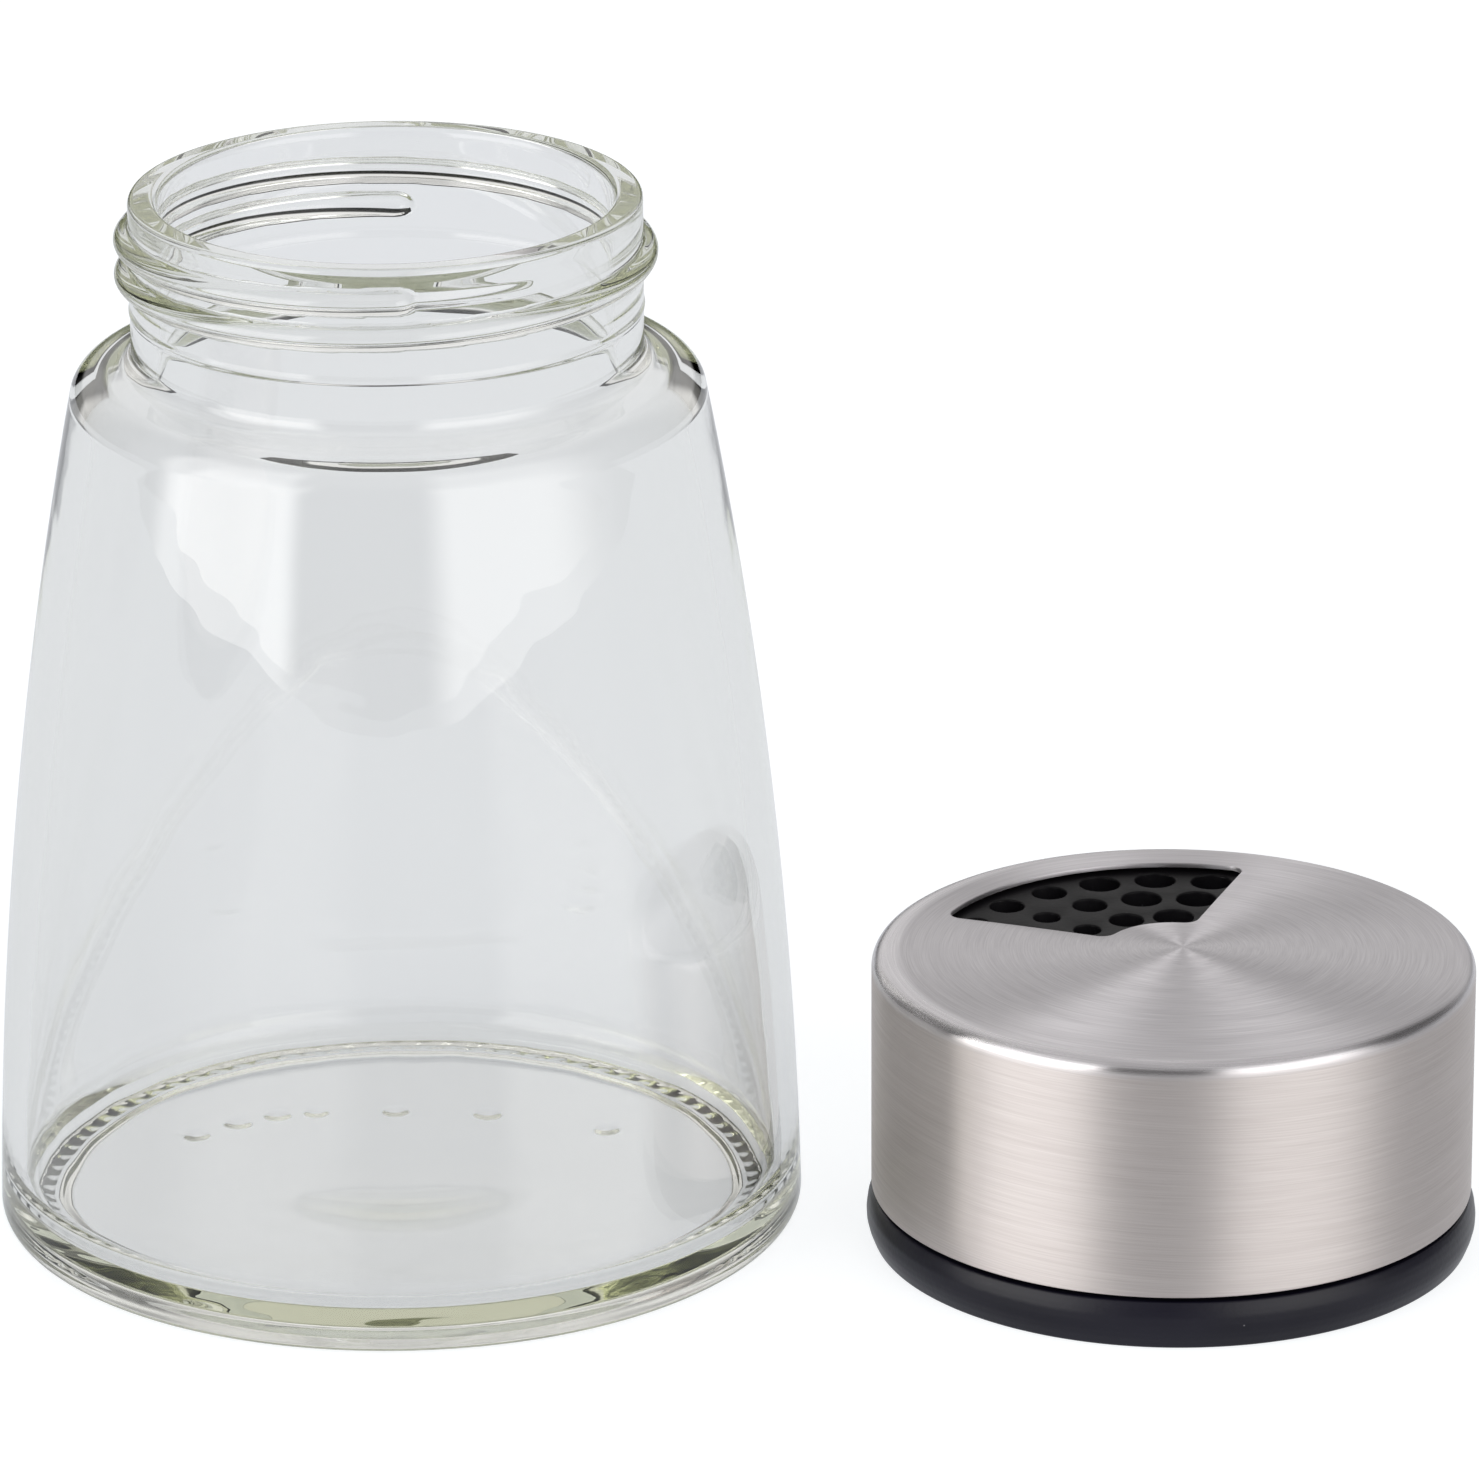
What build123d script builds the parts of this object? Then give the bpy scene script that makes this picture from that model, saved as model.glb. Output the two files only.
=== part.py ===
from build123d import *

import math
import os

# A table shaker: a glass jar with a threaded neck, and the screw lid that belongs on it, standing beside it.
# The lid is a black moulded collar with a perforated sifter disc, under a steel cap that turns. The cap's
# window uncovers coarse, medium or fine holes, or a blank part of the disc.
# Millimetres, +Z up. The origin is the centre of the jar's base. The lid stands at LID_POSITION.

# ---- driving dimensions: glass jar ----
JAR_HEIGHT = 84.0
BASE_RADIUS = 32.0
HEEL_ROUND = 1.4
BEARING_RING_INNER = 27.6
PUNT_HEIGHT = 0.9
PUNT_FLAT_RADIUS = 26.9
BODY_MID_RADIUS, BODY_MID_Z = 29.34, 39.0
BODY_TOP_RADIUS, BODY_TOP_Z = 24.85, 67.9
SHOULDER_MID_RADIUS, SHOULDER_MID_Z = 24.25, 69.35
SHOULDER_INNER_RADIUS, SHOULDER_INNER_Z = 22.6, 70.3
SHOULDER_TOP_Z = 70.9
NECK_RADIUS = 19.95
NECK_FILLET = 0.9
NECK_BORE_RADIUS = 17.65
LIP_OUTER_ROUND = 0.5
LIP_INNER_ROUND = 0.7
WALL = 2.4
FLOOR_THICKNESS = 2.6
FLOOR_CENTRE_Z = 3.2
INNER_CORNER_ROUND = 3.0
BORE_LOWER_Z = 72.0
INNER_SHOULDER_MID = (18.7, 69.6)
INNER_SHOULDER_START = (23.05, 64.5)
INNER_SHOULDER_TURN = (22.15, 67.45)

# ---- driving dimensions: screw thread, right-handed, one start ----
THREAD_PITCH = 2.8
JAR_THREAD_CREST_RADIUS = 21.1
JAR_THREAD_START_Z = 77.25
JAR_THREAD_START_ANGLE = 90.0
JAR_THREAD_TURNS = 1.51
COLLAR_THREAD_CREST_RADIUS = 20.35
COLLAR_THREAD_START_Z = 3.0
COLLAR_THREAD_TURNS = 1.4
THREAD_ROOT_WIDTH = 1.9
THREAD_CREST_WIDTH = 0.9
THREAD_SINK = 0.3

# ---- driving dimensions: screw collar ----
LID_POSITION = (61.29, -7.47, 0.0)
FLANGE_RADIUS = 24.15
FLANGE_FOOT_RADIUS = 23.75
FLANGE_TOP_RADIUS = 23.6
FLANGE_HEIGHT = 3.85
COLLAR_RADIUS = 22.4
COLLAR_BORE_RADIUS = 21.3
COLLAR_MOUTH_CHAMFER = 0.6
COLLAR_TOP_Z = 21.55
WEB_BOTTOM_Z = 13.6
WEB_TOP_Z = 14.8
WEB_OPENING_RADIUS = 17.4
BARREL_BORE_RADIUS = 20.6
SNAP_GROOVE_RADIUS = 21.75
SNAP_GROOVE_BOTTOM_Z = 15.9
SNAP_GROOVE_TOP_Z = 18.2

# ---- driving dimensions: lip seal ----
SEAL_THICKNESS = 1.2
SEAL_INNER_RADIUS = 17.6
SEAL_OUTER_RADIUS = 21.1

# ---- driving dimensions: sifter disc ----
SIFTER_TOP_Z = 23.05
SIFTER_RADIUS = 22.35
SPIGOT_RADIUS = 20.55
SPIGOT_BORE_RADIUS = 19.65
SPIGOT_BOTTOM_Z = 19.6
COARSE, MEDIUM, FINE = 3.2, 2.75, 2.15
# Each row of holes: radius, angle of its first hole, angle between holes, and hole diameters in order.
HOLE_ROWS = [
    (17.35, 47.5, 15.0, 5 * [COARSE] + 2 * [MEDIUM] + 4 * [FINE]),
    (13.35, 60.7, 18.95, 3 * [COARSE] + [MEDIUM] + 4 * [FINE]),
    (9.2, 63.5, 24.0, 2 * [COARSE] + [MEDIUM] + 3 * [FINE]),
]

# ---- driving dimensions: steel cap and the ring inside it ----
CAP_RADIUS = 23.78
CAP_STEEL = 0.4
CAP_SKIRT_Z = 4.25
CAP_RIM_Z = 23.65
CAP_CROWN_Z = 24.1
CAP_EDGE_ROUND = 1.2
WINDOW_INNER_RADIUS = 5.45
WINDOW_OUTER_RADIUS = 19.35
WINDOW_ANGLES = (70.3, 156.5)
WINDOW_CORNER_ROUND = 1.2
CARRIER_BORE_RADIUS = 22.7
CARRIER_BOTTOM_Z = 4.6
CARRIER_TOP_Z = 22.2
CARRIER_BEAD_RADIUS = 22.0
CARRIER_BEAD_BOTTOM_Z = 16.9
CARRIER_BEAD_TOP_Z = 17.9

# ---- driving dimensions: the turning stop between cap and sifter disc ----
CAP_TURN_RANGE = (-30.0, 135.0)
STOP_TOOTH_ANGLE = 250.0
STOP_TOOTH_WIDTH = 8.0
STOP_TOOTH_RADIUS = 21.25
STOP_TOOTH_BOTTOM_Z = 21.8
STOP_TRACK_RADIUS = 20.95
STOP_TRACK_SPARE_ANGLE = 1.0


def polar(radius, degrees, z=0.0):
    """A point at a radius and an angle from +X about the Z axis."""
    angle = math.radians(degrees)
    return Vector(radius * math.cos(angle), radius * math.sin(angle), z)


def ring(inner_radius, outer_radius, bottom_z, top_z):
    """A plain ring with a rectangular section."""
    height = top_z - bottom_z
    outer = Cylinder(outer_radius, height, align=(Align.CENTER, Align.CENTER, Align.MIN))
    inner = Cylinder(inner_radius, height, align=(Align.CENTER, Align.CENTER, Align.MIN))
    return Pos(0, 0, bottom_z) * (outer - inner)


def turned(outline):
    """A solid of revolution about Z from a closed outline of lines in the XZ plane."""
    return revolve(make_face(outline), Axis.Z)


def turned_polygon(*points):
    """A solid of revolution from the corners of its section, given as (radius, z)."""
    corners = [Vector(radius, 0, z) for radius, z in points]
    return turned(Polyline(corners, close=True))


def sector(inner_radius, outer_radius, angles, bottom_z, top_z):
    """A piece of a ring between two angles."""
    start, end = angles
    middle = (start + end) / 2
    outline = Curve() + [
        Line(polar(inner_radius, start), polar(outer_radius, start)),
        ThreePointArc(polar(outer_radius, start), polar(outer_radius, middle), polar(outer_radius, end)),
        Line(polar(outer_radius, end), polar(inner_radius, end)),
        ThreePointArc(polar(inner_radius, end), polar(inner_radius, middle), polar(inner_radius, start)),
    ]
    return extrude(Pos(0, 0, bottom_z) * make_face(outline), amount=top_z - bottom_z, dir=(0, 0, 1))


def thread(wall_radius, crest_radius, start_z, start_angle, turns):
    """A helical ridge on a wall. It stands inwards when the crest is the smaller radius."""
    outwards = 1 if crest_radius > wall_radius else -1
    path = Helix(THREAD_PITCH, THREAD_PITCH * turns, wall_radius)
    root_depth = -outwards * THREAD_SINK
    crest_depth = crest_radius - wall_radius
    half_root, half_crest = THREAD_ROOT_WIDTH / 2, THREAD_CREST_WIDTH / 2
    section_plane = Plane(origin=path @ 0, x_dir=(1, 0, 0), z_dir=path % 0)
    section = section_plane * make_face(Polyline(
        (root_depth, -half_root),
        (root_depth, half_root),
        (crest_depth, half_crest),
        (crest_depth, -half_crest),
        close=True,
    ))
    ridge = sweep(section, path=path, is_frenet=True)
    return Pos(0, 0, start_z) * Rot(0, 0, start_angle) * ridge


def glass_jar():
    """The jar: a thick-walled bottle shape with a stepped-in neck, a punt under it and a screw thread."""
    heel_middle = HEEL_ROUND * (1 - math.sqrt(0.5))
    outside = [
        Line((0, 0, PUNT_HEIGHT), (PUNT_FLAT_RADIUS, 0, PUNT_HEIGHT)),
        Line((PUNT_FLAT_RADIUS, 0, PUNT_HEIGHT), (BEARING_RING_INNER, 0, 0)),
        Line((BEARING_RING_INNER, 0, 0), (BASE_RADIUS - HEEL_ROUND, 0, 0)),
        ThreePointArc((BASE_RADIUS - HEEL_ROUND, 0, 0), (BASE_RADIUS - heel_middle, 0, heel_middle),
                      (BASE_RADIUS, 0, HEEL_ROUND)),
        ThreePointArc((BASE_RADIUS, 0, HEEL_ROUND), (BODY_MID_RADIUS, 0, BODY_MID_Z),
                      (BODY_TOP_RADIUS, 0, BODY_TOP_Z)),
        ThreePointArc((BODY_TOP_RADIUS, 0, BODY_TOP_Z), (SHOULDER_MID_RADIUS, 0, SHOULDER_MID_Z),
                      (SHOULDER_INNER_RADIUS, 0, SHOULDER_INNER_Z)),
        Line((SHOULDER_INNER_RADIUS, 0, SHOULDER_INNER_Z), (NECK_RADIUS, 0, SHOULDER_TOP_Z)),
        Line((NECK_RADIUS, 0, SHOULDER_TOP_Z), (NECK_RADIUS, 0, JAR_HEIGHT)),
        Line((NECK_RADIUS, 0, JAR_HEIGHT), (0, 0, JAR_HEIGHT)),
        Line((0, 0, JAR_HEIGHT), (0, 0, PUNT_HEIGHT)),
    ]
    body = turned(Curve() + outside)
    rim_edge = body.edges().filter_by(GeomType.CIRCLE).sort_by(Axis.Z)[-1]
    body = fillet(rim_edge, LIP_OUTER_ROUND)
    shoulder_edge = [
        edge for edge in body.edges().filter_by(GeomType.CIRCLE)
        if abs(edge.radius - NECK_RADIUS) < 0.01 and abs(edge.center().Z - SHOULDER_TOP_Z) < 0.01
    ]
    body = fillet(shoulder_edge, NECK_FILLET)

    inner_base = BASE_RADIUS - WALL
    corner = INNER_CORNER_ROUND
    corner_middle = corner * (1 - math.sqrt(0.5))
    shoulder_start = (INNER_SHOULDER_START[0], 0, INNER_SHOULDER_START[1])
    shoulder_turn = (INNER_SHOULDER_TURN[0], 0, INNER_SHOULDER_TURN[1])
    shoulder_mid = (INNER_SHOULDER_MID[0], 0, INNER_SHOULDER_MID[1])
    floor_edge = inner_base - corner
    floor_mid_z = FLOOR_THICKNESS + 0.75 * (FLOOR_CENTRE_Z - FLOOR_THICKNESS)
    inside = [
        ThreePointArc((0, 0, FLOOR_CENTRE_Z), (floor_edge / 2, 0, floor_mid_z),
                      (floor_edge, 0, FLOOR_THICKNESS)),
        ThreePointArc((floor_edge, 0, FLOOR_THICKNESS),
                      (inner_base - corner_middle, 0, FLOOR_THICKNESS + corner_middle),
                      (inner_base, 0, FLOOR_THICKNESS + corner)),
        ThreePointArc((inner_base, 0, FLOOR_THICKNESS + corner), (BODY_MID_RADIUS - WALL, 0, BODY_MID_Z),
                      shoulder_start),
        Spline(shoulder_start, shoulder_turn, shoulder_mid, (NECK_BORE_RADIUS, 0, BORE_LOWER_Z),
               tangents=[(-0.1, 0, 1), (0, 0, 1)]),
        Line((NECK_BORE_RADIUS, 0, BORE_LOWER_Z), (NECK_BORE_RADIUS, 0, JAR_HEIGHT)),
        Line((NECK_BORE_RADIUS, 0, JAR_HEIGHT), (0, 0, JAR_HEIGHT)),
        Line((0, 0, JAR_HEIGHT), (0, 0, FLOOR_CENTRE_Z)),
    ]
    body -= turned(Curve() + inside)
    mouth_edge = [
        edge for edge in body.edges().filter_by(GeomType.CIRCLE)
        if abs(edge.radius - NECK_BORE_RADIUS) < 0.01 and abs(edge.center().Z - JAR_HEIGHT) < 0.01
    ]
    body = fillet(mouth_edge, LIP_INNER_ROUND)
    return body + thread(NECK_RADIUS, JAR_THREAD_CREST_RADIUS, JAR_THREAD_START_Z,
                         JAR_THREAD_START_ANGLE, JAR_THREAD_TURNS)


def screw_collar():
    """The moulded base of the lid: a flange, a threaded socket, a web that holds the seal, and a barrel."""
    flange = turned(Curve() + [
        Line((COLLAR_BORE_RADIUS + COLLAR_MOUTH_CHAMFER, 0, 0), (FLANGE_FOOT_RADIUS, 0, 0)),
        ThreePointArc((FLANGE_FOOT_RADIUS, 0, 0), (FLANGE_RADIUS, 0, FLANGE_HEIGHT / 2),
                      (FLANGE_TOP_RADIUS, 0, FLANGE_HEIGHT)),
        Line((FLANGE_TOP_RADIUS, 0, FLANGE_HEIGHT), (COLLAR_BORE_RADIUS, 0, FLANGE_HEIGHT)),
        Line((COLLAR_BORE_RADIUS, 0, FLANGE_HEIGHT), (COLLAR_BORE_RADIUS, 0, COLLAR_MOUTH_CHAMFER)),
        Line((COLLAR_BORE_RADIUS, 0, COLLAR_MOUTH_CHAMFER),
             (COLLAR_BORE_RADIUS + COLLAR_MOUTH_CHAMFER, 0, 0)),
    ])
    socket = ring(COLLAR_BORE_RADIUS, COLLAR_RADIUS, FLANGE_HEIGHT, WEB_TOP_Z)
    web = ring(WEB_OPENING_RADIUS, COLLAR_RADIUS, WEB_BOTTOM_Z, WEB_TOP_Z)
    barrel = ring(BARREL_BORE_RADIUS, COLLAR_RADIUS, WEB_TOP_Z, COLLAR_TOP_Z)
    snap_groove = ring(SNAP_GROOVE_RADIUS, COLLAR_RADIUS + 1, SNAP_GROOVE_BOTTOM_Z, SNAP_GROOVE_TOP_Z)
    ridge = thread(COLLAR_BORE_RADIUS, COLLAR_THREAD_CREST_RADIUS, COLLAR_THREAD_START_Z, 0,
                   COLLAR_THREAD_TURNS)
    return flange + socket + web + barrel - snap_groove + ridge


def lip_seal():
    """The soft ring under the web that closes on the jar's lip."""
    return ring(SEAL_INNER_RADIUS, SEAL_OUTER_RADIUS, WEB_BOTTOM_Z - SEAL_THICKNESS, WEB_BOTTOM_Z)


def sifter_disc():
    """The perforated disc, with a spigot that sits in the barrel and a track for the cap's stop tooth."""
    disc = Pos(0, 0, COLLAR_TOP_Z) * Cylinder(
        SIFTER_RADIUS, SIFTER_TOP_Z - COLLAR_TOP_Z, align=(Align.CENTER, Align.CENTER, Align.MIN))
    disc += ring(SPIGOT_BORE_RADIUS, SPIGOT_RADIUS, SPIGOT_BOTTOM_Z, COLLAR_TOP_Z)
    hole_depth = SIFTER_TOP_Z - COLLAR_TOP_Z
    for row_radius, first_angle, spacing, diameters in HOLE_ROWS:
        for index, diameter in enumerate(diameters):
            centre = polar(row_radius, first_angle + index * spacing, COLLAR_TOP_Z + hole_depth / 2)
            disc -= Pos(centre) * Cylinder(diameter / 2, hole_depth)
    spare = STOP_TOOTH_WIDTH / 2 + STOP_TRACK_SPARE_ANGLE
    track_angles = (
        STOP_TOOTH_ANGLE + CAP_TURN_RANGE[0] - spare,
        STOP_TOOTH_ANGLE + CAP_TURN_RANGE[1] + spare,
    )
    return disc - sector(STOP_TRACK_RADIUS, SIFTER_RADIUS + 1, track_angles, COLLAR_TOP_Z, SIFTER_TOP_Z)


def cap_carrier():
    """The ring pressed inside the steel cap, with a bead that snaps into the groove round the collar."""
    inner_radius = CAP_RADIUS - CAP_STEEL
    body = ring(CARRIER_BORE_RADIUS, inner_radius, CARRIER_BOTTOM_Z, CARRIER_TOP_Z)
    slope = CARRIER_BORE_RADIUS - CARRIER_BEAD_RADIUS
    bead = turned_polygon(
        (CARRIER_BORE_RADIUS, CARRIER_BEAD_BOTTOM_Z - slope),
        (CARRIER_BEAD_RADIUS, CARRIER_BEAD_BOTTOM_Z),
        (CARRIER_BEAD_RADIUS, CARRIER_BEAD_TOP_Z),
        (CARRIER_BORE_RADIUS, CARRIER_BEAD_TOP_Z),
    )
    half_tooth = STOP_TOOTH_WIDTH / 2
    tooth = sector(
        STOP_TOOTH_RADIUS, (CARRIER_BORE_RADIUS + inner_radius) / 2,
        (STOP_TOOTH_ANGLE - half_tooth, STOP_TOOTH_ANGLE + half_tooth), STOP_TOOTH_BOTTOM_Z, CARRIER_TOP_Z,
    )
    return body + bead + tooth


def cap_shell():
    """The pressed steel cap: a straight skirt, a rounded edge, a crowned top and a fan-shaped window."""
    def outer_form(radius, edge_round, rim_z, crown_z, bottom_z):
        edge_middle = edge_round * (1 - math.sqrt(0.5))
        flat_radius = radius - edge_round
        crown_middle_z = rim_z + 0.75 * (crown_z - rim_z)
        return turned(Curve() + [
            Line((0, 0, bottom_z), (radius, 0, bottom_z)),
            Line((radius, 0, bottom_z), (radius, 0, rim_z - edge_round)),
            ThreePointArc((radius, 0, rim_z - edge_round), (radius - edge_middle, 0, rim_z - edge_middle),
                          (flat_radius, 0, rim_z)),
            ThreePointArc((flat_radius, 0, rim_z), (flat_radius / 2, 0, crown_middle_z), (0, 0, crown_z)),
            Line((0, 0, crown_z), (0, 0, bottom_z)),
        ])

    shell = outer_form(CAP_RADIUS, CAP_EDGE_ROUND, CAP_RIM_Z, CAP_CROWN_Z, CAP_SKIRT_Z)
    shell -= outer_form(CAP_RADIUS - CAP_STEEL, CAP_EDGE_ROUND - CAP_STEEL, CAP_RIM_Z - CAP_STEEL,
                        CAP_CROWN_Z - CAP_STEEL, CAP_SKIRT_Z)
    window = sector(WINDOW_INNER_RADIUS, WINDOW_OUTER_RADIUS, WINDOW_ANGLES, SIFTER_TOP_Z, CAP_CROWN_Z + 1)
    window = fillet(window.edges().filter_by(Axis.Z), WINDOW_CORNER_ROUND)
    return shell - window


os.makedirs("parts", exist_ok=True)
lid = Pos(*LID_POSITION)
nodes = {
    "glass_jar": glass_jar(),
    "screw_collar": lid * screw_collar(),
    "lip_seal": lid * lip_seal(),
    "sifter_disc": lid * sifter_disc(),
    "cap_carrier": lid * cap_carrier(),
    "cap_shell": lid * cap_shell(),
}
for name, shape in nodes.items():
    export_step(shape, f"parts/{name}.step")
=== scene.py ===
import math

import bpy
import numpy as np
from mathutils import Euler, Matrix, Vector
from mathutils.geometry import delaunay_2d_cdt


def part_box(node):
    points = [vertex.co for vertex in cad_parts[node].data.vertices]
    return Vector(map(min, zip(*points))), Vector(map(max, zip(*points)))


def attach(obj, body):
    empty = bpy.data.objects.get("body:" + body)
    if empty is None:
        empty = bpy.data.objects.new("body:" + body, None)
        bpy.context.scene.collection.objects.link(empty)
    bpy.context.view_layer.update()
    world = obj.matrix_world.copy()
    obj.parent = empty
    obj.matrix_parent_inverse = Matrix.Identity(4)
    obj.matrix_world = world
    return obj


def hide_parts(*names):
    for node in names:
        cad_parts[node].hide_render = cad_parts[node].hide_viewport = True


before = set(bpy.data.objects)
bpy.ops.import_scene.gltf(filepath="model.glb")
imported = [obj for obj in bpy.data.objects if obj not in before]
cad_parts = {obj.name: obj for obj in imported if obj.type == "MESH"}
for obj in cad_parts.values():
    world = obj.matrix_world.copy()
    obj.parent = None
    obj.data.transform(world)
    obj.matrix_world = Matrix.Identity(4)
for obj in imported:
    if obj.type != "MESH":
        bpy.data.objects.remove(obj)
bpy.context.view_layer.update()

# A glass table shaker with its lid beside it. Shapes are worked out in millimetres and written in metres.
MM = 0.001

# ---- places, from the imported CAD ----
jar_low, jar_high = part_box("glass_jar")
cap_low, cap_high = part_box("cap_shell")
JAR_AXIS = Vector(((jar_low.x + jar_high.x) / 2, (jar_low.y + jar_high.y) / 2, 0.0))
LID_AXIS = Vector(((cap_low.x + cap_high.x) / 2, (cap_low.y + cap_high.y) / 2, 0.0))
CAP_EDGE, CAP_RIM = (cap_high.x - cap_low.x) / 2, 23.65 * MM
# The centre of the brushed rings lies a little off the lid's axis.
BRUSH_CENTRE_OFFSET = 0.74 * MM


# ---------------------------------------------------------------- mesh helpers
def arc_points(start, middle, end, count):
    """Points along the circle through three points, both ends included."""
    (ax, ay), (bx, by), (cx, cy) = start, middle, end
    d = 2 * (ax * (by - cy) + bx * (cy - ay) + cx * (ay - by))
    aa, bb, cc = ax * ax + ay * ay, bx * bx + by * by, cx * cx + cy * cy
    ux = (aa * (by - cy) + bb * (cy - ay) + cc * (ay - by)) / d
    uy = (aa * (cx - bx) + bb * (ax - cx) + cc * (bx - ax)) / d
    radius = math.hypot(ax - ux, ay - uy)
    a0, a1, a2 = (math.atan2(y - uy, x - ux) for x, y in (start, middle, end))
    sweep = (a2 - a0) % (2 * math.pi)
    if (a1 - a0) % (2 * math.pi) > sweep:
        sweep -= 2 * math.pi
    return [
        (ux + radius * math.cos(a0 + sweep * k / count), uy + radius * math.sin(a0 + sweep * k / count))
        for k in range(count + 1)
    ]


def line_points(start, end, count):
    """Points along a straight line, both ends included."""
    return [
        (start[0] + (end[0] - start[0]) * k / count, start[1] + (end[1] - start[1]) * k / count)
        for k in range(count + 1)
    ]


def rounded_outline(corners, steps=5):
    """An outline whose corners are (r, z, rounding radius)."""
    points = []
    total = len(corners)
    for i, (x, y, radius) in enumerate(corners):
        if radius <= 0:
            points.append((x, y))
            continue
        before, after = corners[i - 1], corners[(i + 1) % total]
        to_before = Vector((before[0] - x, before[1] - y)).normalized()
        to_after = Vector((after[0] - x, after[1] - y)).normalized()
        half = to_before.angle(to_after) / 2
        reach = radius / math.tan(half)
        centre = Vector((x, y)) + (to_before + to_after).normalized() * (radius / math.sin(half))
        first = Vector((x, y)) + to_before * reach - centre
        last = to_after * reach + Vector((x, y)) - centre
        turn = math.atan2(first.x * last.y - first.y * last.x, first.dot(last))
        for k in range(steps + 1):
            angle = turn * k / steps
            cos, sin = math.cos(angle), math.sin(angle)
            points.append((centre.x + first.x * cos - first.y * sin,
                           centre.y + first.x * sin + first.y * cos))
    return points


def circle_row(radius, z, segments, shape=None):
    """One row of a turned mesh. shape(angles, radii, heights) returns the changed radii and heights."""
    if radius < 1e-6 and shape is None:
        return np.array([[0.0, 0.0, z]])
    angles = np.arange(segments) * (2 * math.pi / segments)
    radii, heights = np.full(segments, float(radius)), np.full(segments, float(z))
    if shape is not None:
        radii, heights = shape(angles, radii, heights)
    return np.stack([radii * np.cos(angles), radii * np.sin(angles), heights], axis=1)


def bridge(rows, closed):
    """Vertices and faces between rows. A row has one point, or as many, half or twice its neighbour's."""
    starts = np.cumsum([0] + [len(row) for row in rows])
    faces = []
    pairs = list(zip(range(len(rows) - 1), range(1, len(rows))))
    if closed:
        pairs.append((len(rows) - 1, 0))
    for a, b in pairs:
        na, nb, sa, sb = len(rows[a]), len(rows[b]), int(starts[a]), int(starts[b])
        if na == nb:
            faces += [(sa + k, sa + (k + 1) % na, sb + (k + 1) % na, sb + k) for k in range(na)]
        elif na == 1:
            faces += [(sa, sb + (k + 1) % nb, sb + k) for k in range(nb)]
        elif nb == 1:
            faces += [(sb, sa + k, sa + (k + 1) % na) for k in range(na)]
        elif nb == 2 * na:
            for k in range(na):
                c0, c1 = sa + k, sa + (k + 1) % na
                f0, f1, f2 = sb + 2 * k, sb + 2 * k + 1, sb + (2 * k + 2) % nb
                faces += [(c0, f1, f0), (c0, c1, f1), (c1, f2, f1)]
        else:
            for k in range(nb):
                c0, c1 = sb + k, sb + (k + 1) % nb
                f0, f1, f2 = sa + 2 * k, sa + 2 * k + 1, sa + (2 * k + 2) % na
                faces += [(c0, f0, f1), (c0, f1, c1), (c1, f1, f2)]
    return np.concatenate(rows), faces


def make_piece(name, vertices, faces, axis, material, body, node, sharp_angle=35.0):
    """A smooth-shaded mesh piece with its faces turned outwards, standing for one CAD node."""
    vertices = np.asarray(vertices, float) * MM + np.array(axis)
    fans = np.array([(f[0], f[k], f[k + 1]) for f in faces for k in range(1, len(f) - 1)])
    a, b, c = (vertices[fans[:, k]] for k in range(3))
    if np.einsum("ij,ij->", a, np.cross(b, c)) < 0:
        faces = [tuple(reversed(f)) for f in faces]
    mesh = bpy.data.meshes.new(name)
    mesh.from_pydata(vertices.tolist(), [], faces)
    mesh.validate()
    mesh.shade_smooth()
    mesh.set_sharp_from_angle(angle=math.radians(sharp_angle))
    mesh.materials.append(material)
    piece = bpy.data.objects.new(name, mesh)
    bpy.context.scene.collection.objects.link(piece)
    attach(piece, body)
    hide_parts(node)
    return piece


# ---------------------------------------------------------------- materials
class Nodes:
    """A short way to write a material's nodes."""

    def __init__(self, name):
        self.material = bpy.data.materials.new(name)
        self.material.use_nodes = True
        self.tree = self.material.node_tree
        self.tree.nodes.clear()
        self.output = self.add("ShaderNodeOutputMaterial")

    def add(self, kind, **settings):
        node = self.tree.nodes.new(kind)
        for key, value in settings.items():
            setattr(node, key, value)
        return node

    def link(self, source, target):
        self.tree.links.new(source, target)

    def math(self, operation, first, second=None, clamp=False):
        node = self.add("ShaderNodeMath", operation=operation, use_clamp=clamp)
        for index, value in enumerate((first, second)):
            if value is None:
                continue
            if isinstance(value, (int, float)):
                node.inputs[index].default_value = value
            else:
                self.link(value, node.inputs[index])
        return node.outputs[0]

    def noise(self, vector, scale, detail=2.0, roughness=0.5):
        node = self.add("ShaderNodeTexNoise")
        node.inputs["Scale"].default_value = scale
        node.inputs["Detail"].default_value = detail
        node.inputs["Roughness"].default_value = roughness
        self.link(vector, node.inputs["Vector"])
        return node.outputs["Fac"]

    def ramp(self, value, stops):
        node = self.add("ShaderNodeValToRGB")
        elements = node.color_ramp.elements
        while len(elements) < len(stops):
            elements.new(0.5)
        for element, (position, colour) in zip(elements, stops):
            element.position = position
            element.color = (*colour, 1.0)
        self.link(value, node.inputs["Fac"])
        return node.outputs["Color"]

    def range(self, value, low, high, to_low, to_high):
        node = self.add("ShaderNodeMapRange")
        for name, number in (("From Min", low), ("From Max", high), ("To Min", to_low), ("To Max", to_high)):
            node.inputs[name].default_value = number
        self.link(value, node.inputs["Value"])
        return node.outputs["Result"]

    def bump(self, height, distance, strength=1.0):
        node = self.add("ShaderNodeBump")
        node.inputs["Distance"].default_value = distance
        node.inputs["Strength"].default_value = strength
        self.link(height, node.inputs["Height"])
        return node.outputs["Normal"]


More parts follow.
